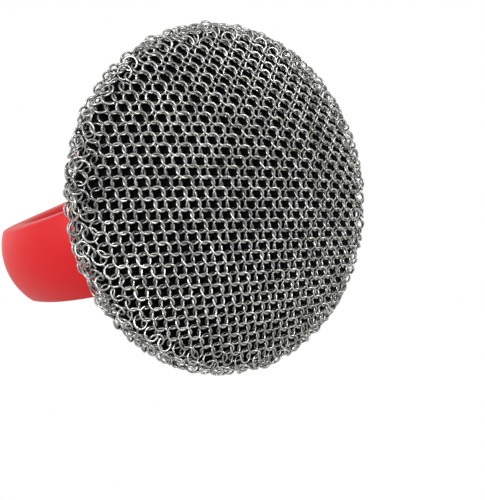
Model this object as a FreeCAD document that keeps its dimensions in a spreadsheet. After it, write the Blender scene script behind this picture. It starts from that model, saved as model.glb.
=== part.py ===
import FreeCAD, Part
import Sketcher
import itertools
import math
import os
import re

# Pot scrubber: a chain mail pad over a rubber core, under a domed cover with an arched grip.
# Millimetres and degrees. The tool stands on its mail: Z is up, the origin is on the ground under the
# middle of the pad, and the grip arches along X.

doc = FreeCAD.newDocument("pot_scrubber")

# Driving dimensions: alias, value, meaning
DIMENSIONS = [
    ("mail_radius", 60.0, "outside of the mail at its widest"),
    ("wire_size", 0.75, "thickness of a link's wire"),
    ("link_radius", 2.3, "link, to the middle of its wire"),
    ("link_lean", 27.0, "lean of a link out of the mail's surface"),
    ("link_pitch", 5.78, "from link to link along a row"),
    ("row_gap", 2.11, "from row to row across the face"),
    ("row_turn", 58.0, "turn of the rows from the grip's direction"),
    ("rest_radius", 10.0, "flat middle of the face"),
    ("patch_radius", 13.0, "links counted in the patch that the tool stands on"),
    ("edge_slope", 25.0, "slope of the face where it meets the fold"),
    ("fold_radius", 5.5, "fold round the edge of the pad"),
    ("hem_slope", 140.0, "slope of the flank at the hem"),
    ("hem_radius", 53.3, "circle of the hem links"),
    ("rim_links", 60.0, "links in each row round the rim"),
    ("rim_rows", 4.0, "rows round the flank"),
    ("rim_row_gap", 1.72, "from row to row round the flank"),
    ("link_clearance", 0.02, "least air between two wires"),
    ("core_gap", 0.3, "between the mail and the core"),
    ("hem_room_above", 1.8, "groove above the hem links"),
    ("hem_room_below", 1.3, "groove below the hem links"),
    ("cover_radius", 53.0, "rim of the domed cover"),
    ("cover_rise", 26.6, "height of the dome over its rim"),
    ("cover_lip", 2.0, "straight lip at the rim"),
    ("lip_round", 0.8, "rounded lower edge of the lip"),
    ("cover_wall", 2.6, "wall of the dome"),
    ("rim_width", 4.0, "width of the rim's underside"),
    ("peg_radius", 0.65, "pegs that hold the hem links"),
    ("plate_thickness", 1.6, "clamp plate"),
    ("spigot_reach", 2.2, "spigot of the plate above the rim's underside"),
    ("spigot_wall", 2.0, "wall of the spigot"),
    ("bead_radius", 0.6, "snap bead round the spigot"),
    ("stud_radius", 9.0, "stud that centres the core in the plate"),
    ("stud_rise", 3.0, "height of that stud"),
    ("fit_gap", 0.2, "clearance of fitted pieces"),
    ("grip_half_span", 62.3, "outside of the grip at its widest"),
    ("grip_centre_rise", 47.0, "widest place of the grip above the rim"),
    ("grip_crown_rise", 32.0, "top of the grip above its widest place"),
    ("grip_shoulder", 26.0, "outer radius of the grip's shoulders"),
    ("grip_thickness", 14.0, "grip in the plane of the arch"),
    ("grip_width", 25.0, "grip across the arch, at its crown"),
    ("leg_width", 33.4, "grip across the arch, at the ends of its legs before the dome trims them"),
    ("grip_fall", 4.1, "fall of the grip's domed outer face from its middle to its edges"),
    ("grip_edge", 1.2, "rounded outer edges of the grip"),
    ("grip_round", 4.0, "rounded inner edges of the grip"),
    ("leg_reach", 55.0, "angle that the legs run down before the dome trims them"),
    ("screw_radius", 2.0, "shank of a grip screw"),
    ("screw_length", 17.0, "shank of a grip screw"),
    ("head_radius", 3.8, "head of a grip screw"),
    ("head_height", 2.4, "head of a grip screw"),
    ("screw_spread", 13.0, "between the two screws of a leg"),
    ("boss_radius", 5.0, "screw boss inside the dome"),
    ("boss_height", 4.0, "screw boss inside the dome"),
    ("cut_overrun", 2.0, "run of a cut past the face that it opens"),
]


def section_formulas(end, width):
    """Formulas of the grip's section at its crown or legs; heights are from the middle of its outer face."""
    return [
        (f"{end}_half_width", f"{width} / 2"),
        (f"{end}_face_bend", f"({end}_half_width ^ 2 + grip_fall ^ 2) / (2 * grip_fall)"),
        (f"{end}_edge_place", f"{end}_half_width - grip_edge"),
        (f"{end}_edge_bend", f"{end}_face_bend - grip_edge"),
        (f"{end}_edge_height", f"sqrt({end}_edge_bend ^ 2 - {end}_edge_place ^ 2) - {end}_face_bend"),
        (f"{end}_touch_share", f"{end}_face_bend / {end}_edge_bend"),
        (f"{end}_touch_place", f"{end}_edge_place * {end}_touch_share"),
        (f"{end}_touch_height", f"({end}_edge_height + {end}_face_bend) * {end}_touch_share - {end}_face_bend"),
        (f"{end}_round_place", f"{end}_half_width - grip_round"),
    ]


# Worked-out sizes: alias, formula in the driving dimensions
FORMULAS = [
    ("mail_half", "link_radius * sin(link_lean) + wire_size / 2"),
    ("fold_centre_radius", "mail_radius - mail_half - fold_radius"),
    ("face_radius", "fold_centre_radius + fold_radius * sin(edge_slope)"),
    ("face_bend", "(face_radius - rest_radius) / sin(edge_slope)"),
    ("face_centre_height", "mail_half + face_bend"),
    ("fold_centre_height", "face_centre_height - (face_bend - fold_radius) * cos(edge_slope)"),
    ("flank_foot_radius", "fold_centre_radius + fold_radius * sin(hem_slope)"),
    ("flank_foot_height", "fold_centre_height - fold_radius * cos(hem_slope)"),
    ("flank_length", "(hem_radius - flank_foot_radius) / cos(hem_slope)"),
    ("hem_height", "flank_foot_height + flank_length * sin(hem_slope)"),
    ("core_offset", "mail_half + core_gap"),
    ("core_bottom", "mail_half + core_offset"),
    ("core_bend", "face_bend - core_offset"),
    ("core_fold", "fold_radius - core_offset"),
    ("core_face_radius", "rest_radius + core_bend * sin(edge_slope)"),
    ("core_face_height", "face_centre_height - core_bend * cos(edge_slope)"),
    ("core_flank_radius", "fold_centre_radius + core_fold * sin(hem_slope)"),
    ("core_flank_height", "fold_centre_height - core_fold * cos(hem_slope)"),
    ("plate_top", "hem_height - hem_room_below"),
    ("plate_bottom", "plate_top - plate_thickness"),
    ("plate_foot_radius", "core_flank_radius + (plate_bottom - core_flank_height) / tan(hem_slope)"),
    ("plate_top_radius", "core_flank_radius + (plate_top - core_flank_height) / tan(hem_slope)"),
    ("rim_height", "hem_height + hem_room_above"),
    ("rim_inner_radius", "cover_radius - rim_width"),
    ("cover_sag", "cover_rise - cover_lip"),
    ("cover_bend", "(cover_radius ^ 2 + cover_sag ^ 2) / (2 * cover_sag)"),
    ("cover_top", "rim_height + cover_rise"),
    ("cover_centre_height", "cover_top - cover_bend"),
    ("lip_height", "rim_height + cover_lip"),
    ("lip_round_radius", "cover_radius - lip_round"),
    ("lip_round_height", "rim_height + lip_round"),
    ("cover_inner_bend", "cover_bend - cover_wall"),
    ("cover_inner_top", "cover_top - cover_wall"),
    ("cover_inner_height", "cover_centre_height + sqrt(cover_inner_bend ^ 2 - rim_inner_radius ^ 2)"),
    ("spigot_radius", "rim_inner_radius - fit_gap"),
    ("spigot_inner_radius", "spigot_radius - spigot_wall"),
    ("spigot_top", "rim_height + spigot_reach"),
    ("bead_height", "rim_height + spigot_reach / 2"),
    ("groove_radius", "bead_radius + fit_gap"),
    ("stud_top", "plate_bottom + stud_rise"),
    ("stud_hole_radius", "stud_radius + fit_gap"),
    ("hem_link_edge", "hem_radius + link_radius * cos(hem_slope + link_lean) + wire_size / 2"),
    ("peg_circle", "hem_link_edge + fit_gap + peg_radius"),
    ("peg_length", "hem_room_above + hem_room_below - fit_gap"),
    ("grip_centre_height", "rim_height + grip_centre_rise"),
    ("crown_top", "grip_centre_height + grip_crown_rise"),
    *section_formulas("crown", "grip_width"),
    *section_formulas("leg", "leg_width"),
    ("round_height", "grip_round - grip_thickness"),
    ("leg_turn", "90 + leg_reach"),
    ("shoulder_place", "grip_half_span - grip_shoulder"),
    ("crown_bend", "(shoulder_place ^ 2 + grip_crown_rise ^ 2 - grip_shoulder ^ 2)"
                   " / (2 * (grip_crown_rise - grip_shoulder))"),
    ("crown_centre_height", "crown_top - crown_bend"),
    ("crown_across_share", "shoulder_place / (crown_bend - grip_shoulder)"),
    ("crown_up_share", "(crown_bend - grip_crown_rise) / (crown_bend - grip_shoulder)"),
    ("crown_end_radius", "crown_bend * crown_across_share"),
    ("crown_end_height", "crown_centre_height + crown_bend * crown_up_share"),
    ("leg_radius", "grip_half_span * cos(leg_reach)"),
    ("leg_height", "grip_centre_height - grip_half_span * sin(leg_reach)"),
    ("leg_line", "grip_half_span - grip_thickness / 2"),
    ("grip_over_dome", "grip_centre_height - cover_centre_height"),
    ("foot_up", "(cover_bend ^ 2 - leg_line ^ 2 + grip_over_dome ^ 2) / (2 * grip_over_dome)"),
    ("foot_tilt", "acos(foot_up / cover_bend)"),
    ("foot_seat_bend", "cover_bend + fit_gap"),
    ("boss_seat", "cover_inner_bend - boss_height"),
    ("boss_length", "boss_height + cover_wall / 2"),
    ("screw_hole_radius", "screw_radius + fit_gap"),
    ("screw_hole_start", "boss_seat - cut_overrun"),
    ("screw_hole_length", "boss_height + cover_wall + 2 * cut_overrun"),
    ("pilot_start", "cover_bend - cut_overrun"),
    ("pilot_length", "screw_length - boss_height - cover_wall + 2 * cut_overrun"),
    ("head_start", "boss_seat - head_height"),
]


def make_sheet(name, rows):
    """A sheet with one named value in each row."""
    sheet = doc.addObject("Spreadsheet::Sheet", name)
    for number, row in enumerate(rows, start=1):
        sheet.set(f"A{number}", row[0])
        sheet.set(f"B{number}", str(row[1]))
        sheet.setAlias(f"B{number}", row[0])
        if len(row) > 2:
            sheet.set(f"C{number}", row[2])
    return sheet


def with_sheets(formula):
    """The formula with each alias led by the name of its sheet."""
    def with_sheet(match):
        word = match.group()
        if word in driving_names:
            return "dimensions." + word
        return "worked_out." + word if word in formula_names else word
    return re.sub("[a-z_]+", with_sheet, formula)


driving_names = {row[0] for row in DIMENSIONS}
formula_names = {row[0] for row in FORMULAS}
dimensions = make_sheet("dimensions", DIMENSIONS)
worked_out = make_sheet("worked_out", [(name, "=" + with_sheets(formula)) for name, formula in FORMULAS])
doc.recompute()


def read_sizes():
    """Every alias of both sheets, as a number."""
    values = {name: dimensions.get(name) for name in driving_names}
    values.update({name: worked_out.get(name) for name in formula_names})
    return {name: float(getattr(value, "Value", value)) for name, value in values.items()}


sizes = read_sizes()


def bind(item, path, formula):
    """Ties a property of a document object to the sheets."""
    item.setExpression(path, with_sheets(formula))


def new_body(label):
    body = doc.addObject("PartDesign::Body", label)
    body.Label = label
    return body


def origin_part(body, role):
    """An origin plane or axis of the body."""
    return next(item for item in body.Origin.OriginFeatures if item.Role == role)


def number_of(formula):
    """The number behind an alias that may carry a minus sign."""
    if formula == "0":
        return 0.0
    if formula.startswith("-"):
        return -sizes[formula[1:]]
    return sizes[formula]


def outline_sketch(body, name, points, arcs, plane="XZ_Plane", closed=True):
    """An outline in an upright plane.

    points holds (across, up) aliases; arcs maps the number of an edge's first point to the aliases of its
    centre and radius and to its sense, and every other edge is straight.
    """
    sketch = body.newObject("Sketcher::SketchObject", name)
    sketch.AttachmentSupport = (origin_part(body, plane), [""])
    sketch.MapMode = "FlatFace"
    places = [FreeCAD.Vector(number_of(across), number_of(up), 0) for across, up in points]
    normal = FreeCAD.Vector(0, 0, 1)
    first_ends = []
    edge_count = len(places) if closed else len(places) - 1
    for number in range(edge_count):
        start = places[number]
        end = places[(number + 1) % len(places)]
        if number not in arcs:
            sketch.addGeometry(Part.LineSegment(start, end), False)
            first_ends.append(1)
            continue
        across, up, radius, sense = arcs[number]
        centre = FreeCAD.Vector(number_of(across), number_of(up), 0)
        circle = Part.Circle(centre, normal, number_of(radius))
        low, high = (start, end) if sense == "left" else (end, start)
        turns = [math.atan2(place.y - centre.y, place.x - centre.x) for place in (low, high)]
        sketch.addGeometry(Part.ArcOfCircle(circle, turns[0], turns[1]), False)
        first_ends.append(1 if sense == "left" else 2)
    for number in range(len(places) if closed else edge_count - 1):
        following = (number + 1) % len(places)
        ends = (number, 3 - first_ends[number], following, first_ends[following])
        sketch.addConstraint(Sketcher.Constraint("Coincident", *ends))
    for number, (across, up) in enumerate(points):
        edge = min(number, edge_count - 1)
        end = first_ends[edge] if number == edge else 3 - first_ends[edge]
        for kind, formula, axis in (("DistanceX", across, -2), ("DistanceY", up, -1)):
            if formula == "0":
                sketch.addConstraint(Sketcher.Constraint("PointOnObject", edge, end, axis))
                continue
            index = sketch.addConstraint(Sketcher.Constraint(kind, -1, 1, edge, end, number_of(formula)))
            sign = "-1 * " if formula.startswith("-") else ""
            bind(sketch, f"Constraints[{index}]", sign + formula.lstrip("-"))
    for number, (across, up, radius, sense) in arcs.items():
        index = sketch.addConstraint(Sketcher.Constraint("Radius", number, number_of(radius)))
        bind(sketch, f"Constraints[{index}]", radius)
    return sketch


def revolved(body, name, points, arcs):
    """The outline turned once round the Z axis."""
    sketch = outline_sketch(body, name + "_outline", points, arcs)
    turned = body.newObject("PartDesign::Revolution", name)
    turned.Profile = sketch
    turned.ReferenceAxis = (sketch, ["V_Axis"])
    turned.Angle = 360.0
    return turned


def round_piece(body, kind, name, formulas):
    """A primitive feature of the body; formulas maps its properties to the sheets."""
    piece = body.newObject("PartDesign::" + kind, name)
    piece.AttachmentSupport = (origin_part(body, "XY_Plane"), [""])
    piece.MapMode = "FlatFace"
    for path, formula in formulas.items():
        bind(piece, path, formula)
    return piece


def foot_line(item, start, side, hand, holder):
    """Sets a round piece on a screw line: start is its distance from the middle of the dome's sphere."""
    about_y = FreeCAD.Rotation(FreeCAD.Vector(0, 1, 0), sizes["foot_tilt"])
    setattr(item, holder, FreeCAD.Placement(FreeCAD.Vector(0, 0, 0), about_y))
    bind(item, f"{holder}.Rotation.Angle", f"{side} * foot_tilt")
    bind(item, f"{holder}.Base.x", f"{side} * {start} * sin(foot_tilt)")
    bind(item, f"{holder}.Base.y", f"{hand} * screw_spread / 2")
    bind(item, f"{holder}.Base.z", f"cover_centre_height + {start} * cos(foot_tilt)")


SCREW_PLACES = [(side, hand) for side in (-1, 1) for hand in (-1, 1)]


# The rubber core fills the mail
def make_core_pad():
    body = new_body("core_pad")
    points = [("0", "core_bottom"), ("rest_radius", "core_bottom"),
              ("core_face_radius", "core_face_height"), ("core_flank_radius", "core_flank_height"),
              ("plate_foot_radius", "plate_bottom"), ("stud_radius", "plate_bottom"),
              ("stud_radius", "stud_top"), ("0", "stud_top")]
    arcs = {1: ("rest_radius", "face_centre_height", "core_bend", "left"),
            2: ("fold_centre_radius", "fold_centre_height", "core_fold", "left")}
    revolved(body, "core", points, arcs)
    return body


# The clamp plate closes the dome and snaps into its rim
def make_clamp_plate():
    body = new_body("clamp_plate")
    points = [("stud_hole_radius", "plate_bottom"), ("plate_foot_radius", "plate_bottom"),
              ("plate_top_radius", "plate_top"), ("spigot_radius", "plate_top"),
              ("spigot_radius", "spigot_top"), ("spigot_inner_radius", "spigot_top"),
              ("spigot_inner_radius", "plate_top"), ("stud_hole_radius", "plate_top")]
    revolved(body, "plate", points, {})
    round_piece(body, "AdditiveTorus", "snap_bead",
                {"Radius1": "spigot_radius", "Radius2": "bead_radius",
                 "AttachmentOffset.Base.z": "bead_height"})
    return body


# The domed cover, with a snap groove, pegs for the hem links and bosses for the grip screws
def make_dome_cover():
    body = new_body("dome_cover")
    points = [("rim_inner_radius", "rim_height"), ("lip_round_radius", "rim_height"),
              ("cover_radius", "lip_round_height"), ("cover_radius", "lip_height"), ("0", "cover_top"),
              ("0", "cover_inner_top"), ("rim_inner_radius", "cover_inner_height")]
    arcs = {1: ("lip_round_radius", "lip_round_height", "lip_round", "left"),
            3: ("0", "cover_centre_height", "cover_bend", "left"),
            5: ("0", "cover_centre_height", "cover_inner_bend", "right")}
    revolved(body, "dome", points, arcs)
    for number, (side, hand) in enumerate(SCREW_PLACES, start=1):
        boss = round_piece(body, "AdditiveCylinder", f"boss_{number}",
                           {"Radius": "boss_radius", "Height": "boss_length"})
        foot_line(boss, "boss_seat", side, hand, "AttachmentOffset")
    for number, (side, hand) in enumerate(SCREW_PLACES, start=1):
        hole = round_piece(body, "SubtractiveCylinder", f"screw_hole_{number}",
                           {"Radius": "screw_hole_radius", "Height": "screw_hole_length"})
        foot_line(hole, "screw_hole_start", side, hand, "AttachmentOffset")
    round_piece(body, "SubtractiveTorus", "snap_groove",
                {"Radius1": "spigot_radius", "Radius2": "groove_radius",
                 "AttachmentOffset.Base.z": "bead_height"})
    peg = round_piece(body, "AdditiveCylinder", "peg",
                      {"Radius": "peg_radius", "Height": "peg_length",
                       "AttachmentOffset.Base.x": "peg_circle",
                       "AttachmentOffset.Base.z": "rim_height - peg_length"})
    doc.recompute()
    pegs = body.newObject("PartDesign::PolarPattern", "pegs")
    pegs.Originals = [peg]
    pegs.Axis = (origin_part(body, "Z_Axis"), [""])
    pegs.Angle = 360.0
    bind(pegs, "Occurrences", "rim_links")
    body.Tip = pegs
    return body


def grip_section(body, end, across, up, turn):
    """The grip's section at its crown or a leg, turned about Y to stand square to the path."""
    right_side = [(f"{end}_round_place", "-grip_thickness"), (f"{end}_half_width", "round_height"),
                  (f"{end}_half_width", f"{end}_edge_height"), (f"{end}_touch_place", f"{end}_touch_height")]
    left_side = [("-" + place, height) for place, height in reversed(right_side)]
    arcs = {0: (f"{end}_round_place", "round_height", "grip_round", "left"),
            2: (f"{end}_edge_place", f"{end}_edge_height", "grip_edge", "left"),
            3: ("0", f"-{end}_face_bend", f"{end}_face_bend", "left"),
            4: (f"-{end}_edge_place", f"{end}_edge_height", "grip_edge", "left"),
            6: (f"-{end}_round_place", "round_height", "grip_round", "left")}
    section = outline_sketch(body, f"{end}_section", right_side + left_side, arcs, plane="YZ_Plane")
    about_y = FreeCAD.Rotation(FreeCAD.Vector(1, 0, 0), number_of(turn))
    section.AttachmentOffset = FreeCAD.Placement(FreeCAD.Vector(0, number_of(up), number_of(across)), about_y)
    for path, formula in (("Base.y", up), ("Base.z", across), ("Rotation.Angle", turn)):
        if formula != "0":
            bind(section, "AttachmentOffset." + path, formula.replace("-", "-1 * "))
    return section


# The grip: a section with a domed outer face, swept from leg to leg and wider at the legs than at the crown,
# trimmed by the dome and drilled for the screws
def make_grip_arch():
    body = new_body("grip_arch")
    left_points = [("-leg_radius", "leg_height"), ("-grip_half_span", "grip_centre_height"),
                   ("-crown_end_radius", "crown_end_height")]
    right_points = [(across.lstrip("-"), up) for across, up in reversed(left_points)]
    path_points = left_points + [("0", "crown_top")] + right_points
    path_arcs = {0: ("0", "grip_centre_height", "grip_half_span", "right"),
                 1: ("-shoulder_place", "grip_centre_height", "grip_shoulder", "right"),
                 2: ("0", "crown_centre_height", "crown_bend", "right"),
                 3: ("0", "crown_centre_height", "crown_bend", "right"),
                 4: ("shoulder_place", "grip_centre_height", "grip_shoulder", "right"),
                 5: ("0", "grip_centre_height", "grip_half_span", "right")}
    path = outline_sketch(body, "arch_path", path_points, path_arcs, closed=False)
    left_leg = grip_section(body, "leg", "-leg_radius", "leg_height", "-leg_turn")
    crown = grip_section(body, "crown", "0", "crown_top", "0")
    right_leg = grip_section(body, "leg", "leg_radius", "leg_height", "leg_turn")
    doc.recompute()
    arch = body.newObject("PartDesign::AdditivePipe", "arch")
    arch.Profile = left_leg
    arch.Spine = (path, [f"Edge{number}" for number in range(1, len(path_points))])
    arch.Transformation = "Multisection"
    arch.Sections = [(crown, [""]), (right_leg, [""])]
    doc.recompute()
    round_piece(body, "SubtractiveSphere", "dome_seat",
                {"Radius": "foot_seat_bend", "AttachmentOffset.Base.z": "cover_centre_height"})
    for number, (side, hand) in enumerate(SCREW_PLACES, start=1):
        pilot = round_piece(body, "SubtractiveCylinder", f"pilot_{number}",
                            {"Radius": "screw_hole_radius", "Height": "pilot_length"})
        foot_line(pilot, "pilot_start", side, hand, "AttachmentOffset")
    return body


# The four screws that hold the grip, as one group
def make_grip_screws():
    screws = []
    for number, (side, hand) in enumerate(SCREW_PLACES, start=1):
        head = doc.addObject("Part::Cylinder", f"screw_head_{number}")
        bind(head, "Radius", "head_radius")
        bind(head, "Height", "head_height")
        foot_line(head, "head_start", side, hand, "Placement")
        shank = doc.addObject("Part::Cylinder", f"screw_shank_{number}")
        bind(shank, "Radius", "screw_radius")
        bind(shank, "Height", "screw_length")
        foot_line(shank, "boss_seat", side, hand, "Placement")
        screw = doc.addObject("Part::Fuse", f"screw_{number}")
        screw.Base = head
        screw.Tool = shank
        screws.append(screw)
    group = doc.addObject("Part::Compound", "grip_screws")
    group.Label = "grip_screws"
    group.Links = screws
    return group


# The mail: a round link is a place and an axis on the mail's middle surface
def mail_surface(run):
    """Radius, height and slope of the mail's middle surface, at a run along it from the middle."""
    edge_slope = math.radians(sizes["edge_slope"])
    hem_slope = math.radians(sizes["hem_slope"])
    face_run = sizes["rest_radius"] + sizes["face_bend"] * edge_slope
    fold_run = face_run + sizes["fold_radius"] * (hem_slope - edge_slope)
    if run < sizes["rest_radius"]:
        return run, sizes["mail_half"], 0.0
    if run < face_run:
        slope = (run - sizes["rest_radius"]) / sizes["face_bend"]
        radius = sizes["rest_radius"] + sizes["face_bend"] * math.sin(slope)
        return radius, sizes["face_centre_height"] - sizes["face_bend"] * math.cos(slope), slope
    if run < fold_run:
        slope = edge_slope + (run - face_run) / sizes["fold_radius"]
        radius = sizes["fold_centre_radius"] + sizes["fold_radius"] * math.sin(slope)
        return radius, sizes["fold_centre_height"] - sizes["fold_radius"] * math.cos(slope), slope
    radius = sizes["flank_foot_radius"] + (run - fold_run) * math.cos(hem_slope)
    return radius, sizes["flank_foot_height"] + (run - fold_run) * math.sin(hem_slope), hem_slope


def hem_run():
    """Run along the mail's middle surface from the middle to the hem links."""
    fold_turn = math.radians(sizes["hem_slope"] - sizes["edge_slope"])
    face = sizes["rest_radius"] + sizes["face_bend"] * math.radians(sizes["edge_slope"])
    return face + sizes["fold_radius"] * fold_turn + sizes["flank_length"]


def link_at(run, turn, row_turn, lean):
    """Centre and axis of a link: its row leaves the outward direction by row_turn and it leans by lean."""
    radius, height, slope = mail_surface(run)
    outward = FreeCAD.Vector(math.cos(turn), math.sin(turn), 0)
    around = FreeCAD.Vector(-math.sin(turn), math.cos(turn), 0)
    up = FreeCAD.Vector(0, 0, 1)
    along = outward * math.cos(slope) + up * math.sin(slope)
    normal = outward * math.sin(slope) - up * math.cos(slope)
    row = along * math.cos(row_turn) + around * math.sin(row_turn)
    axis = normal * math.cos(lean) + normal.cross(row) * math.sin(lean)
    return outward * radius + up * height, axis


# Places along a link's wire where its distance to another link is taken
WIRE_STEPS = 56


def wires_clear(one, other, least):
    """Whether two links' wires keep a least distance between their middles."""
    reach = 2 * sizes["link_radius"] + least
    if (one[0] - other[0]).Length > reach:
        return True
    side = one[1].cross(FreeCAD.Vector(1, 0, 0))
    if side.Length < one[1].Length / 2:
        side = one[1].cross(FreeCAD.Vector(0, 1, 0))
    side.normalize()
    other_side = one[1].cross(side)
    for step in range(WIRE_STEPS):
        turn = 2 * math.pi * step / WIRE_STEPS
        spoke = side * math.cos(turn) + other_side * math.sin(turn)
        offset = one[0] + spoke * sizes["link_radius"] - other[0]
        along = offset.dot(other[1])
        across = (offset - other[1] * along).Length
        if math.hypot(across - sizes["link_radius"], along) < least:
            return False
    return True


def rim_rows():
    """Rows of links round the flank, from the hem down."""
    count = int(sizes["rim_links"])
    lean = math.radians(sizes["link_lean"])
    rows = []
    for row in range(int(sizes["rim_rows"])):
        run = hem_run() - row * sizes["rim_row_gap"]
        sign = 1 if row % 2 == 0 else -1
        turns = [2 * math.pi * (link + row % 2 / 2) / count for link in range(count)]
        rows.append([link_at(run, turn, math.pi / 2, sign * lean) for turn in turns])
    return rows


# A link at the seam may shift, in shares of its radius, lean, in shares of the usual lean, and turn
SEAT_SHIFT_SHARES = (0, -0.25, 0.25, -0.5, 0.5, -0.75, 0.75)
SEAT_LEAN_SHARES = (1, 1.25, 0.5, 0, -0.5, -1)
SEAT_TURN_SHARES = (0, 0.25, 0.5, 0.75)
TURN_COST_SHARE = 0.25


def seat_cost(shares):
    """How far a seat leaves the link's usual place, lean and turn."""
    out_share, around_share, lean_share, turn_share = shares
    return math.hypot(out_share, around_share) + TURN_COST_SHARE * (turn_share - lean_share)


SEAT_TRIES = sorted(itertools.product(SEAT_SHIFT_SHARES, SEAT_SHIFT_SHARES, SEAT_LEAN_SHARES,
                                      SEAT_TURN_SHARES), key=seat_cost)


def seat_link(run, turn, row_turn, lean, taken, least):
    """A link at the seam, shifted and leant until its wire clears its neighbours; None where it can't."""
    reach = 2 * sizes["link_radius"] + least + 2 * max(SEAT_SHIFT_SHARES) * sizes["link_radius"]
    centre = link_at(run, turn, row_turn - turn, lean)[0]
    near = [place for place in taken if (place[0] - centre).Length < reach]
    for out_share, around_share, lean_share, turn_share in SEAT_TRIES:
        place_run = run + out_share * sizes["link_radius"]
        place_turn = turn + around_share * sizes["link_radius"] / run
        link_turn = row_turn - place_turn + turn_share * math.pi
        place = link_at(place_run, place_turn, link_turn, lean * lean_share)
        if all(wires_clear(place, other, least) for other in near):
            return place
    return None


def face_rows(rim):
    """Straight rows of links over the face, out to the rows round the rim."""
    lean = math.radians(sizes["link_lean"])
    row_turn = math.radians(sizes["row_turn"])
    face_reach = hem_run() - (sizes["rim_rows"] - 1) * sizes["rim_row_gap"]
    seam_start = face_reach - 2 * sizes["link_pitch"]
    least = sizes["wire_size"] + sizes["link_clearance"]
    half_rows = int(face_reach / sizes["row_gap"])
    half_links = int(face_reach / sizes["link_pitch"]) + 1
    row_numbers = range(-half_rows, half_rows + 1)
    link_numbers = range(-half_links, half_links + 1)
    lattice = []
    for row, link in itertools.product(row_numbers, link_numbers):
        along = (link + row % 2 / 2) * sizes["link_pitch"]
        across = row * sizes["row_gap"]
        run = math.hypot(along, across)
        if run < face_reach:
            link_lean = lean if row % 2 == 0 else -lean
            lattice.append((run, math.atan2(across, along) + row_turn, link_lean, row + half_rows))
    rows = [[] for row in row_numbers]
    taken = list(rim)
    unseated = []
    for run, turn, link_lean, row in sorted(lattice):
        place = link_at(run, turn, row_turn - turn, link_lean)
        if run > seam_start and not all(wires_clear(place, other, least) for other in taken):
            unseated.append((run, turn, link_lean, row))
            continue
        rows[row].append((run, place))
        taken.append(place)
    for run, turn, link_lean, row in unseated:
        place = seat_link(run, turn, row_turn, link_lean, taken, least)
        if place:
            rows[row].append((run, place))
            taken.append(place)
    return rows


def make_mail_node(label, places):
    """A node of round links."""
    radius = sizes["link_radius"]
    wire_radius = sizes["wire_size"] / 2
    links = [Part.makeTorus(radius, wire_radius, centre, axis) for centre, axis in places]
    node = doc.addObject("Part::Feature", label)
    node.Label = label
    node.Shape = Part.makeCompound(links)
    node.Placement = FreeCAD.Placement()
    return node


def make_mail():
    rim = rim_rows()
    rim_links = [place for row in rim for place in row]
    nodes = [make_mail_node(f"mail_rim_{number:02d}", row) for number, row in enumerate(rim, start=1)]
    patch = []
    courses = {}
    rows = face_rows(rim_links)
    for number, row in enumerate(rows):
        pair = min(number, len(rows) - 2) // 2
        for run, place in row:
            group = patch if run < sizes["patch_radius"] else courses.setdefault(pair, [])
            group.append(place)
    nodes.append(make_mail_node("mail_rest_patch", patch))
    for number, course in enumerate(sorted(courses), start=1):
        nodes.append(make_mail_node(f"mail_course_{number:02d}", courses[course]))
    return nodes


nodes = [make_grip_arch(), make_dome_cover(), make_grip_screws(), make_clamp_plate(), make_core_pad()]
nodes += make_mail()
doc.recompute()

for item in doc.Objects:
    if "Invalid" in item.State or "Error" in item.State:
        raise RuntimeError(f"{item.Label} is not valid: {item.State}")
os.makedirs("parts", exist_ok=True)
for node in nodes:
    if node.Shape.isNull() or not node.Shape.isValid():
        raise RuntimeError(f"{node.Label} has no valid shape")
    node.Shape.exportStep(f"parts/{node.Label}.step")
    print(node.Label, len(node.Shape.Solids), round(node.Shape.Volume, 1))
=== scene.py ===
import math
import random

import bpy
import numpy as np
from bpy.props import FloatProperty, FloatVectorProperty, IntProperty, PointerProperty
from mathutils import Matrix, Vector


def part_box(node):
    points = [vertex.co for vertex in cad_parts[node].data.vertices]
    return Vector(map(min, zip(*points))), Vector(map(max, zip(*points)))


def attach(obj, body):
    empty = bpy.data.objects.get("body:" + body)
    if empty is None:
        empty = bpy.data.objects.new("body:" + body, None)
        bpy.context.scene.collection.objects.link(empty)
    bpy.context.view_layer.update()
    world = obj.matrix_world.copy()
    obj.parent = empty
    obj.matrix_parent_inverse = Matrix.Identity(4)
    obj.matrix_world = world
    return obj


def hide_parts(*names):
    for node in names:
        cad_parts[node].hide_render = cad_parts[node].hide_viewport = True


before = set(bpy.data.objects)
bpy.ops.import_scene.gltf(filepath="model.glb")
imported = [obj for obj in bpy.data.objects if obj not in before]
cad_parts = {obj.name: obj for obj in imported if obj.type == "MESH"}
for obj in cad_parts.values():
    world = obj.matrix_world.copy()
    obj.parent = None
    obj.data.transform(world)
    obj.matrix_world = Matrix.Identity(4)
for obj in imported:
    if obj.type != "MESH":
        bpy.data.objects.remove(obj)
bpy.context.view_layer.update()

bl_info = {
    "name": "Pot Scrubber",
    "version": (1, 0, 0),
    "blender": (4, 5, 0),
    "location": "View3D > Sidebar > Scrubber",
    "description": "Dresses a chain mail pot scrubber: steel links, rubber core, red mouldings and a stage",
    "category": "Object",
}

MM = 0.001
ROOT = "root"
SEED = 7
# Points of a CAD mesh that lie this close are one point
MERGE_GRID = 0.001 * MM
# Stations along the core's outline: over its face and round its fold
FACE_STEPS = 24
FOLD_STEPS = 14
# Gaps of the mail are looked for from halfway out on the face to these stations short of the hem
HEM_STATIONS = 3
GAP_STATIONS = slice(FACE_STEPS // 2, -HEM_STATIONS)
GAP_TURNS = 360
# A link that fills a gap: points round it, leans that are tried and how far they lean, and how many link
# radii away its neighbours may lie
RING_POINTS = 24
LEAN_TRIES = 40
LEAN_SHARE = 0.6
NEAR_SHARE = 4
# An axis counts as lying along X from this share on
ALONG_SHARE = 0.9
# Shares of the wire's thickness: points of a link that merge, and half the length of its weld
MERGE_SHARE = 0.01
WELD_SHARE = 0.25


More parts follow.
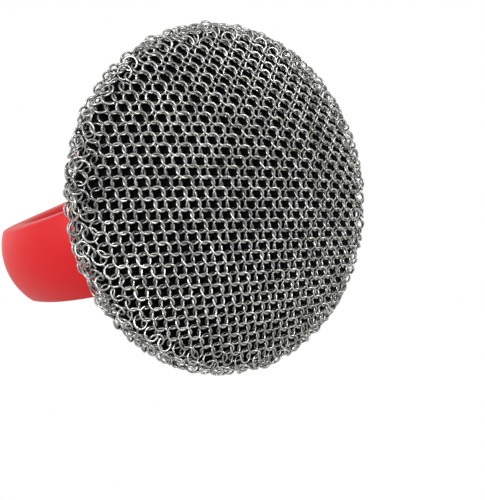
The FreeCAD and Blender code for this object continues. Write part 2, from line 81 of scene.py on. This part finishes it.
def hex_colour(text):
    """The linear colour of an sRGB hex value."""
    shares = [int(text[place:place + 2], 16) / 255 for place in (1, 3, 5)]
    linear = [share / 12.92 if share <= 0.04045 else ((share + 0.055) / 1.055) ** 2.4 for share in shares]
    return (*linear, 1.0)


def size_property(name, description, size):
    """A length that a user may change, given in millimetres."""
    return FloatProperty(name=name, description=description, default=size * MM, min=0.0, unit="LENGTH",
                         precision=5)


def colour_property(name, description, text):
    """A colour that a user may change, given as an sRGB hex value."""
    return FloatVectorProperty(name=name, description=description, default=hex_colour(text), size=4,
                               subtype="COLOR", min=0.0, max=1.0)


class MailSettings(bpy.types.PropertyGroup):
    """Sizes and colours of the steel links."""
    wire_size: size_property("Wire", "Thickness of a link's wire", 0.75)
    link_radius: size_property("Link radius", "Link, to the middle of its wire", 2.3)
    link_steps: IntProperty(name="Steps", description="Steps round a link", default=14, min=8)
    wire_sides: IntProperty(name="Sides", description="Sides of the wire", default=5, min=4)
    weld_swell: FloatProperty(name="Weld swell", default=0.16, min=0.0, subtype="FACTOR",
                              description="Share by which the weld is thicker than the wire")
    slack: size_property("Slack", "How far a loose link may sit from its middle place", 0.08)
    stand_off: size_property("Stand-off", "Middle of the mail above the core", 1.72)
    gap: size_property("Gap", "Distance from all links at which one more link fills the net", 2.7)
    rub: size_property("Rub", "Spots where a link is rubbed clean", 0.9)
    scratch: size_property("Scratch", "Width of the tumbling scratches", 0.25)
    scratch_depth: size_property("Scratch depth", "Depth of the tumbling scratches", 0.03)
    rock: FloatProperty(name="Rock", description="How far a loose link may rock", default=math.radians(3.0),
                        min=0.0, subtype="ANGLE")
    bright: colour_property("Bright steel", "Cleanest links", "#E0E0DD")
    dull: colour_property("Dull steel", "Dullest links", "#80807E")
    straw: colour_property("Straw", "Heat tint at the welds", "#8F8A6C")


class CoreSettings(bpy.types.PropertyGroup):
    """Form and colours of the rubber core."""
    flat: size_property("Flat", "Radius of the flat middle of the face", 10.0)
    edge_slope: FloatProperty(name="Edge slope", description="Slope of the face where it meets the fold",
                              default=math.radians(25.0), min=0.0, subtype="ANGLE")
    hem_slope: FloatProperty(name="Hem slope", description="Slope of the flank above the fold",
                             default=math.radians(140.0), min=0.0, subtype="ANGLE")
    fold: size_property("Fold", "Radius of the fold round the edge", 3.78)
    black: colour_property("Black", "Rubber", "#070608")
    worn_black: colour_property("Worn black", "Rubber where it is rubbed", "#0F0E11")
    grain: size_property("Grain", "Pebbles of the rubber's face", 0.8)
    grain_depth: size_property("Grain depth", "Depth of the pebbles", 0.08)


class MouldingSettings(bpy.types.PropertyGroup):
    """Colours and grain of the moulded pieces and the screws."""
    red: colour_property("Red", "Cover and grip", "#DC151B")
    deep_red: colour_property("Deep red", "Cover and grip where the pigment is denser", "#D21118")
    red_cloud: size_property("Red cloud", "Patches of denser red pigment", 18.0)
    red_grain: size_property("Red grain", "Grain of the red mouldings' satin face", 0.45)
    red_depth: size_property("Red grain depth", "Depth of the red mouldings' grain", 0.02)
    black: colour_property("Black", "Clamp plate", "#17171A")
    black_grain: size_property("Black grain", "Grain of the clamp plate", 0.6)
    black_depth: size_property("Black grain depth", "Depth of the clamp plate's grain", 0.03)
    zinc: colour_property("Zinc", "Plated screws", "#B9BCC2")
    zinc_mottle: size_property("Zinc mottle", "Spots of the screws' plating", 1.2)


class StageSettings(bpy.types.PropertyGroup):
    """Floor, lamps and camera."""
    floor_size: FloatProperty(name="Floor", description="Side of the floor", default=3.0, unit="LENGTH")
    floor_colour: colour_property("Floor colour", "Pale floor", "#EFEFED")
    ambient: FloatProperty(name="Ambient", description="Light from all round", default=0.45, min=0.0)
    lens: FloatProperty(name="Lens", description="Focal length of the camera", default=58.8,
                        subtype="DISTANCE_CAMERA")


class ScrubberSettings(bpy.types.PropertyGroup):
    """All settings of the pot scrubber."""
    mail: PointerProperty(type=MailSettings)
    core: PointerProperty(type=CoreSettings)
    moulding: PointerProperty(type=MouldingSettings)
    stage: PointerProperty(type=StageSettings)


def add_node(tree, kind, inputs=None, **settings):
    """Adds a node: settings are its own properties, inputs the values of its sockets or what feeds them."""
    node = tree.nodes.new("ShaderNode" + kind)
    for name, value in settings.items():
        setattr(node, name, value)
    sockets = {socket.identifier: socket for socket in node.inputs}
    for name, value in (inputs or {}).items():
        if isinstance(value, bpy.types.NodeSocket):
            tree.links.new(value, sockets[name])
        else:
            sockets[name].default_value = value
    return node


def mixed_colour(node):
    """The colour that a mix node gives."""
    return next(socket for socket in node.outputs if socket.identifier == "Result_Color")


def new_material(name):
    """An empty node material with its output node."""
    material = bpy.data.materials.new(name)
    material.use_nodes = True
    tree = material.node_tree
    tree.nodes.clear()
    return material, tree, add_node(tree, "OutputMaterial")


def stainless_wire(settings):
    """Drawn stainless wire, welded and tumbled: grey with sharp glints, straw-tinted at the weld; each link
    has its own tone."""
    material, tree, output = new_material("tumbled_stainless_wire")
    place = add_node(tree, "TexCoord").outputs["Object"]
    tone = add_node(tree, "Attribute", attribute_name="link_tone").outputs["Fac"]
    weld = add_node(tree, "Attribute", attribute_name="weld").outputs["Fac"]
    rub = add_node(tree, "TexNoise", {"Vector": place, "Scale": 1 / settings.rub, "Detail": 3.0}).outputs["Fac"]
    clean = add_node(tree, "Math", {"Value": tone, "Value_001": rub}, operation="MULTIPLY").outputs["Value"]
    steel = add_node(tree, "Mix", {"Factor_Float": clean, "A_Color": settings.dull,
                                   "B_Color": settings.bright}, data_type="RGBA")
    tint = add_node(tree, "Math", {"Value": weld, "Value_001": rub}, operation="MULTIPLY").outputs["Value"]
    colour = add_node(tree, "Mix", {"Factor_Float": tint, "A_Color": mixed_colour(steel),
                                    "B_Color": settings.straw}, data_type="RGBA")
    gloss = add_node(tree, "MapRange", {"Value": rub, "To Min": 0.36, "To Max": 0.16})
    scratch = add_node(tree, "TexNoise", {"Vector": place, "Scale": 1 / settings.scratch, "Detail": 2.0})
    bump = add_node(tree, "Bump", {"Height": scratch.outputs["Fac"], "Strength": 0.25,
                                   "Distance": settings.scratch_depth})
    shader = add_node(tree, "BsdfPrincipled", {
        "Base Color": mixed_colour(colour), "Metallic": 1.0, "Roughness": gloss.outputs["Result"],
        "Normal": bump.outputs["Normal"]})
    tree.links.new(shader.outputs["BSDF"], output.inputs["Surface"])
    return material


def satin_red_plastic(settings):
    """Moulded polypropylene with a satin face: clear red, fine grain, pale sheen at a low angle."""
    material, tree, output = new_material("satin_red_polypropylene")
    place = add_node(tree, "TexCoord").outputs["Object"]
    cloud = add_node(tree, "TexNoise", {"Vector": place, "Scale": 1 / settings.red_cloud, "Detail": 2.0})
    colour = add_node(tree, "Mix", {"Factor_Float": cloud.outputs["Fac"], "A_Color": settings.deep_red,
                                    "B_Color": settings.red}, data_type="RGBA")
    grain = add_node(tree, "TexNoise", {"Vector": place, "Scale": 1 / settings.red_grain, "Detail": 2.0})
    gloss = add_node(tree, "MapRange", {"Value": grain.outputs["Fac"], "To Min": 0.42, "To Max": 0.54})
    bump = add_node(tree, "Bump", {"Height": grain.outputs["Fac"], "Strength": 0.2,
                                   "Distance": settings.red_depth})
    shader = add_node(tree, "BsdfPrincipled", {
        "Base Color": mixed_colour(colour), "Roughness": gloss.outputs["Result"], "IOR": 1.49,
        "Specular IOR Level": 0.35, "Normal": bump.outputs["Normal"]})
    tree.links.new(shader.outputs["BSDF"], output.inputs["Surface"])
    return material


def black_rubber(settings):
    """Moulded black rubber: dead matt, with a fine pebbled face that is a little paler where it is rubbed."""
    material, tree, output = new_material("moulded_black_rubber")
    place = add_node(tree, "TexCoord").outputs["Object"]
    grain = add_node(tree, "TexNoise", {"Vector": place, "Scale": 1 / settings.grain, "Detail": 3.0})
    colour = add_node(tree, "Mix", {"Factor_Float": grain.outputs["Fac"], "A_Color": settings.black,
                                    "B_Color": settings.worn_black}, data_type="RGBA")
    gloss = add_node(tree, "MapRange", {"Value": grain.outputs["Fac"], "To Min": 0.75, "To Max": 0.9})
    bump = add_node(tree, "Bump", {"Height": grain.outputs["Fac"], "Strength": 0.4,
                                   "Distance": settings.grain_depth})
    shader = add_node(tree, "BsdfPrincipled", {
        "Base Color": mixed_colour(colour), "Roughness": gloss.outputs["Result"], "IOR": 1.52,
        "Specular IOR Level": 0.05, "Normal": bump.outputs["Normal"]})
    tree.links.new(shader.outputs["BSDF"], output.inputs["Surface"])
    return material


def black_plate_plastic(settings):
    """Moulded black polypropylene: spark-grained, so its dull face breaks the light evenly."""
    material, tree, output = new_material("grained_black_polypropylene")
    place = add_node(tree, "TexCoord").outputs["Object"]
    grain = add_node(tree, "TexVoronoi", {"Vector": place, "Scale": 1 / settings.black_grain})
    gloss = add_node(tree, "MapRange", {"Value": grain.outputs["Distance"], "To Min": 0.5, "To Max": 0.65})
    bump = add_node(tree, "Bump", {"Height": grain.outputs["Distance"], "Strength": 0.3,
                                   "Distance": settings.black_depth})
    shader = add_node(tree, "BsdfPrincipled", {
        "Base Color": settings.black, "Roughness": gloss.outputs["Result"], "IOR": 1.49,
        "Normal": bump.outputs["Normal"]})
    tree.links.new(shader.outputs["BSDF"], output.inputs["Surface"])
    return material


def zinc_plated_steel(settings):
    """Zinc-plated screw steel: pale, with the mottled gloss of the plating."""
    material, tree, output = new_material("zinc_plated_steel")
    place = add_node(tree, "TexCoord").outputs["Object"]
    mottle = add_node(tree, "TexNoise", {"Vector": place, "Scale": 1 / settings.zinc_mottle, "Detail": 3.0})
    gloss = add_node(tree, "MapRange", {"Value": mottle.outputs["Fac"], "To Min": 0.25, "To Max": 0.45})
    shader = add_node(tree, "BsdfPrincipled", {
        "Base Color": settings.zinc, "Metallic": 1.0, "Roughness": gloss.outputs["Result"]})
    tree.links.new(shader.outputs["BSDF"], output.inputs["Surface"])
    return material


def dress(node, material):
    """Gives a CAD node a material."""
    node.data.materials.clear()
    node.data.materials.append(material)


def link_places(node):
    """Centre and axis of each link in a CAD node of the mail."""
    mesh = node.data
    points = np.empty(3 * len(mesh.vertices))
    mesh.vertices.foreach_get("co", points)
    points = points.reshape(-1, 3)
    edges = np.empty(2 * len(mesh.edges), int)
    mesh.edges.foreach_get("vertices", edges)
    merged, number = np.unique(np.round(points / MERGE_GRID).astype(int), axis=0, return_inverse=True)
    edges = number.reshape(-1)[edges].reshape(-1, 2)
    label = np.arange(len(merged))
    while True:
        least = np.minimum(label[edges[:, 0]], label[edges[:, 1]])
        lower = label.copy()
        np.minimum.at(lower, edges[:, 0], least)
        np.minimum.at(lower, edges[:, 1], least)
        lower = lower[lower]
        if (lower == label).all():
            break
        label = lower
    places = []
    for value in np.unique(label):
        ring = merged[label == value] * MERGE_GRID
        centre = ring.mean(axis=0)
        axis = np.linalg.svd(ring - centre, full_matrices=False)[2][2]
        places.append((Vector(centre), Vector(axis)))
    return places


def core_outline(settings):
    """Radius, height and slope along the core, from the flat middle round the fold to the clamp plate."""
    low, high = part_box("core_pad")
    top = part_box("clamp_plate")[0][2]
    fold_radius = high[0] - settings.fold
    face_radius = fold_radius + settings.fold * math.sin(settings.edge_slope)
    bend = (face_radius - settings.flat) / math.sin(settings.edge_slope)
    stations = []
    for step in range(FACE_STEPS + 1):
        slope = settings.edge_slope * step / FACE_STEPS
        radius = settings.flat + bend * math.sin(slope)
        stations.append((radius, low[2] + bend * (1 - math.cos(slope)), slope))
    fold_height = stations[-1][1] + settings.fold * math.cos(settings.edge_slope)
    for step in range(1, FOLD_STEPS + 1):
        slope = settings.edge_slope + (settings.hem_slope - settings.edge_slope) * step / FOLD_STEPS
        radius = fold_radius + settings.fold * math.sin(slope)
        stations.append((radius, fold_height - settings.fold * math.cos(slope), slope))
    radius, height, slope = stations[-1]
    stations.append((radius + (top - height) / math.tan(slope), top, slope))
    return stations


def ring_points(centre, axis, radius):
    """Points round the middle of a link's wire."""
    across = np.cross(axis, (1, 0, 0) if abs(axis[0]) < ALONG_SHARE else (0, 1, 0))
    across = across / np.linalg.norm(across)
    turns = np.linspace(0, 2 * math.pi, RING_POINTS, endpoint=False)[:, None]
    return centre + radius * (np.cos(turns) * across + np.sin(turns) * np.cross(axis, across))


def gap_spots(mail, core):
    """Points and outward normals of the mail's middle surface, over the outer face and the fold."""
    spots = []
    normals = []
    for radius, height, slope in core_outline(core)[GAP_STATIONS]:
        for turn in np.linspace(0, 2 * math.pi, GAP_TURNS, endpoint=False):
            around = np.array((math.cos(turn), math.sin(turn), 0))
            up = np.array((0, 0, 1))
            out = math.sin(slope) * around - math.cos(slope) * up
            spots.append(radius * around + height * up + mail.stand_off * out)
            normals.append(out)
    return np.array(spots), np.array(normals)


def loosest_axis(centre, normal, near, radius, draw):
    """Of several leans, the axis that keeps a link furthest from the points of its neighbours."""
    tries = []
    for _ in range(LEAN_TRIES):
        axis = normal + LEAN_SHARE * np.array([draw.uniform(-1, 1) for _ in range(3)])
        axis = axis / np.linalg.norm(axis)
        ring = ring_points(centre, axis, radius)
        clear = np.linalg.norm(ring[:, None] - near[None], axis=2).min()
        tries.append((clear, tuple(axis)))
    return np.array(max(tries)[1])


def gap_links(places, mail, core, draw):
    """Centre and axis of the links that fill the gaps where the face's courses meet the edge's."""
    radius = mail.link_radius
    centres = np.array([centre for centre, axis in places])
    rings = [ring_points(np.array(centre), np.array(axis), radius) for centre, axis in places]
    spots, normals = gap_spots(mail, core)
    away = np.full(len(spots), np.inf)
    for centre in centres:
        away = np.minimum(away, np.linalg.norm(spots - centre, axis=1))
    filled = []
    while away.max() > mail.gap:
        best = int(away.argmax())
        centre = spots[best]
        beside = np.linalg.norm(centres - centre, axis=1) < NEAR_SHARE * radius
        near = np.concatenate([rings[number] for number in np.flatnonzero(beside)])
        axis = loosest_axis(centre, normals[best], near, radius, draw)
        filled.append((Vector(centre), Vector(axis)))
        rings.append(ring_points(centre, axis, radius))
        centres = np.vstack((centres, centre))
        away = np.minimum(away, np.linalg.norm(spots - centre, axis=1))
    return filled


def model_link(settings):
    """One link: a circle of wire spun into a ring, a little thicker at its weld."""
    bpy.ops.object.select_all(action="DESELECT")
    bpy.ops.mesh.primitive_circle_add(vertices=settings.wire_sides, radius=settings.wire_size / 2,
                                      location=(settings.link_radius, 0, 0), rotation=(math.pi / 2, 0, 0))
    link = bpy.context.object
    link.name = "mail_link"
    bpy.ops.object.transform_apply(location=True, rotation=True, scale=True)
    bpy.ops.object.mode_set(mode="EDIT")
    bpy.ops.mesh.select_all(action="SELECT")
    bpy.ops.mesh.spin(steps=settings.link_steps, angle=2 * math.pi, center=(0, 0, 0), axis=(0, 0, 1))
    bpy.ops.mesh.select_all(action="SELECT")
    bpy.ops.mesh.remove_doubles(threshold=settings.wire_size * MERGE_SHARE)
    bpy.ops.mesh.normals_make_consistent(inside=False)
    bpy.ops.mesh.select_all(action="DESELECT")
    bpy.ops.object.mode_set(mode="OBJECT")
    half_weld = settings.wire_size * WELD_SHARE
    at_weld = [vertex.co.x > 0 and abs(vertex.co.y) < half_weld for vertex in link.data.vertices]
    link.data.vertices.foreach_set("select", at_weld)
    weld = link.data.attributes.new("weld", "FLOAT", "POINT")
    weld.data.foreach_set("value", [float(value) for value in at_weld])
    bpy.ops.object.mode_set(mode="EDIT")
    swell = 1 + settings.weld_swell
    bpy.ops.transform.resize(value=(swell, swell, swell), center_override=(settings.link_radius, 0, 0))
    bpy.ops.object.mode_set(mode="OBJECT")
    bpy.ops.object.shade_smooth()
    return link


class SCRUBBER_OT_mail(bpy.types.Operator):
    """Models the steel links and lays one in each place of the mail"""
    bl_idname = "scrubber.mail"
    bl_label = "Mail"

    def execute(self, context):
        settings = context.scene.scrubber.mail
        steel = stainless_wire(settings)
        link = model_link(settings)
        draw = random.Random(SEED)
        courses = {name: link_places(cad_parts[name]) for name in sorted(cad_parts)
                   if name.startswith("mail_")}
        laid = [place for places in courses.values() for place in places]
        names = [name for name, places in courses.items() for _ in places]
        for centre, axis in gap_links(laid, settings, context.scene.scrubber.core, draw):
            nearest = min(range(len(laid)), key=lambda number: (laid[number][0] - centre).length)
            courses[names[nearest]].append((centre, axis))
        for name, places in courses.items():
            self.lay_links(context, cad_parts[name], places, link, steel, draw, settings)
        bpy.data.objects.remove(link)
        return {"FINISHED"}

    def lay_links(self, context, node, places, link, steel, draw, settings):
        """Lays a link in each place, with its own slack, turn and tone, and joins them to one piece."""
        copies = []
        for centre, axis in places:
            copy = link.copy()
            copy.data = link.data.copy()
            context.collection.objects.link(copy)
            slack = Vector([draw.uniform(-1, 1) for _ in range(3)]) * settings.slack
            rock = [draw.uniform(-1, 1) * settings.rock for _ in range(2)]
            turn = draw.uniform(0, 2 * math.pi)
            lie = Vector((0, 0, 1)).rotation_difference(axis).to_matrix().to_4x4()
            loose = Matrix.Rotation(rock[0], 4, "X") @ Matrix.Rotation(rock[1], 4, "Y")
            loose = loose @ Matrix.Rotation(turn, 4, "Z")
            copy.data.transform(Matrix.Translation(centre + slack) @ lie @ loose)
            tone = copy.data.attributes.new("link_tone", "FLOAT", "POINT")
            tone.data.foreach_set("value", [draw.random()] * len(copy.data.vertices))
            copies.append(copy)
        bpy.ops.object.select_all(action="DESELECT")
        for copy in copies:
            copy.select_set(True)
        context.view_layer.objects.active = copies[0]
        bpy.ops.object.join()
        course = context.object
        course.name = node.name + "_links"
        dress(course, steel)
        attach(course, ROOT)
        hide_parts(node.name)


class SCRUBBER_OT_core(bpy.types.Operator):
    """Models the rubber core that fills the mail"""
    bl_idname = "scrubber.core"
    bl_label = "Rubber core"

    SIDES = 120
    SMOOTH_ANGLE = math.radians(40)

    def execute(self, context):
        settings = context.scene.scrubber.core
        outline = core_outline(settings)
        bpy.ops.object.select_all(action="DESELECT")
        radius, height, _ = outline[0]
        bpy.ops.mesh.primitive_circle_add(vertices=self.SIDES, radius=radius, fill_type="NGON",
                                          location=(0, 0, height))
        core = context.object
        core.name = "rubber_core"
        bpy.ops.object.transform_apply(location=True)
        bpy.ops.object.mode_set(mode="EDIT")
        bpy.ops.mesh.select_all(action="SELECT")
        for next_radius, next_height, _ in outline[1:]:
            bpy.ops.mesh.extrude_region_move(
                TRANSFORM_OT_translate={"value": (0, 0, next_height - height)})
            share = next_radius / radius
            bpy.ops.transform.resize(value=(share, share, 1), center_override=(0, 0, next_height))
            radius, height = next_radius, next_height
        bpy.ops.mesh.select_all(action="SELECT")
        bpy.ops.mesh.normals_make_consistent(inside=False)
        bpy.ops.object.mode_set(mode="OBJECT")
        bpy.ops.object.shade_smooth_by_angle(angle=self.SMOOTH_ANGLE)
        dress(core, black_rubber(settings))
        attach(core, ROOT)
        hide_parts("core_pad")
        return {"FINISHED"}


class SCRUBBER_OT_mouldings(bpy.types.Operator):
    """Finishes the cover, the grip, the clamp plate and the screws"""
    bl_idname = "scrubber.mouldings"
    bl_label = "Cover, grip and fittings"

    def execute(self, context):
        settings = context.scene.scrubber.moulding
        red = satin_red_plastic(settings)
        finishes = {"dome_cover": red, "grip_arch": red, "clamp_plate": black_plate_plastic(settings),
                    "grip_screws": zinc_plated_steel(settings)}
        for name, material in finishes.items():
            dress(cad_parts[name], material)
        return {"FINISHED"}


class SCRUBBER_OT_stage(bpy.types.Operator):
    """Sets up the floor, the lamps, the white surroundings and the camera"""
    bl_idname = "scrubber.stage"
    bl_label = "Stage"

    # Camera: what it aims at, where it stands from there, which way is up in its picture, the picture's
    # shift, the sensor's height in millimetres and the nearest distance that it sees
    AIM = Vector((0, 0, 16.5)) * MM
    STAND = Vector((153.7, 43.7, -229.9)) * MM
    UP = Vector((-0.366, 0.928, -0.068))
    SHIFT = (0.024, -0.106)
    SENSOR_HEIGHT = 36.0
    NEAR_CLIP = 0.01
    # Lamps: name, place from the aim in metres as right, up and towards the camera, side and power
    LAMPS = [
        ("key", (-0.60, 0.22, 0.72), 0.4, 5.8),
        ("side", (0.75, 0.30, 0.60), 0.3, 5.5),
        ("rear_left", (-0.70, 0.15, -0.55), 0.7, 0.8),
        ("rear_right", (0.40, 0.45, -0.70), 0.7, 1.2),
    ]

    def execute(self, context):
        settings = context.scene.scrubber.stage
        self.lay_floor(settings)
        for name, place, side, power in self.LAMPS:
            self.hang_lamp(name, self.AIM + self.picture_turn() @ Vector(place), side, power)
        self.white_surroundings(context, settings)
        self.stand_camera(context, settings)
        context.scene.view_settings.view_transform = "Standard"
        return {"FINISHED"}

    def lay_floor(self, settings):
        """A pale floor that is clear from below."""
        bpy.ops.object.select_all(action="DESELECT")
        bpy.ops.mesh.primitive_plane_add(size=settings.floor_size)
        floor = bpy.context.object
        floor.name = "floor"
        material, tree, output = new_material("pale_floor")
        under = add_node(tree, "NewGeometry").outputs["Backfacing"]
        paint = add_node(tree, "BsdfDiffuse", {"Color": settings.floor_colour})
        clear = add_node(tree, "BsdfTransparent")
        mix = add_node(tree, "MixShader", {"Fac": under, "Shader": paint.outputs["BSDF"],
                                           "Shader_001": clear.outputs["BSDF"]})
        tree.links.new(mix.outputs["Shader"], output.inputs["Surface"])
        dress(floor, material)
        floor.visible_shadow = False
        floor.visible_glossy = False
        floor.visible_diffuse = False

    def hang_lamp(self, name, place, side, power):
        """A round area lamp that faces the aim."""
        aim = (self.AIM - place).to_track_quat("-Z", "Y").to_euler()
        bpy.ops.object.light_add(type="AREA", location=place, rotation=aim)
        lamp = bpy.context.object
        lamp.name = name + "_lamp"
        lamp.data.shape = "DISK"
        lamp.data.size = side
        lamp.data.energy = power

    def white_surroundings(self, context, settings):
        """White all round to the eye and in reflections, dimmer as a light."""
        world = bpy.data.worlds.new("white_surroundings")
        context.scene.world = world
        world.use_nodes = True
        tree = world.node_tree
        tree.nodes.clear()
        path = add_node(tree, "LightPath").outputs
        seen = add_node(tree, "Math", {"Value": path["Is Camera Ray"], "Value_001": path["Is Glossy Ray"]},
                        operation="MAXIMUM").outputs["Value"]
        seen = add_node(tree, "Math", {"Value": seen, "Value_001": path["Is Transmission Ray"]},
                        operation="MAXIMUM").outputs["Value"]
        strength = add_node(tree, "MapRange", {"Value": seen, "To Min": settings.ambient, "To Max": 1.0})
        light = add_node(tree, "Background", {"Strength": strength.outputs["Result"],
                                              "Color": hex_colour("#FFFFFF")})
        add_node(tree, "OutputWorld", {"Surface": light.outputs["Background"]})

    def picture_turn(self):
        """The turn that takes right, up and towards the camera into the frame."""
        back = self.STAND.normalized()
        right = self.UP.cross(back).normalized()
        return Matrix((right, back.cross(right), back)).transposed()

    def stand_camera(self, context, settings):
        """The camera of the photograph's large view."""
        bpy.ops.object.camera_add(location=self.AIM + self.STAND, rotation=self.picture_turn().to_euler())
        camera = bpy.context.object
        camera.data.sensor_fit = "VERTICAL"
        camera.data.sensor_height = self.SENSOR_HEIGHT
        camera.data.lens = settings.lens
        camera.data.shift_x, camera.data.shift_y = self.SHIFT
        camera.data.clip_start = self.NEAR_CLIP
        context.scene.camera = camera


class SCRUBBER_PT_sidebar(bpy.types.Panel):
    """Steps and settings of the pot scrubber"""
    bl_idname = "SCRUBBER_PT_sidebar"
    bl_label = "Pot Scrubber"
    bl_space_type = "VIEW_3D"
    bl_region_type = "UI"
    bl_category = "Scrubber"

    def draw(self, context):
        for step in STEPS:
            self.layout.operator(step.bl_idname)
        settings = context.scene.scrubber
        for group in (settings.mail, settings.core, settings.moulding, settings.stage):
            box = self.layout.box()
            for name in group.bl_rna.properties.keys():
                if name not in ("rna_type", "name"):
                    box.prop(group, name)


STEPS = (SCRUBBER_OT_mail, SCRUBBER_OT_core, SCRUBBER_OT_mouldings, SCRUBBER_OT_stage)
CLASSES = (MailSettings, CoreSettings, MouldingSettings, StageSettings, ScrubberSettings, *STEPS,
           SCRUBBER_PT_sidebar)


def register():
    for item in CLASSES:
        bpy.utils.register_class(item)
    bpy.types.Scene.scrubber = PointerProperty(type=ScrubberSettings)


def unregister():
    del bpy.types.Scene.scrubber
    for item in reversed(CLASSES):
        bpy.utils.unregister_class(item)


def main():
    register()
    bpy.ops.scrubber.mail()
    bpy.ops.scrubber.core()
    bpy.ops.scrubber.mouldings()
    bpy.ops.scrubber.stage()


if __name__ == "__main__":
    main()
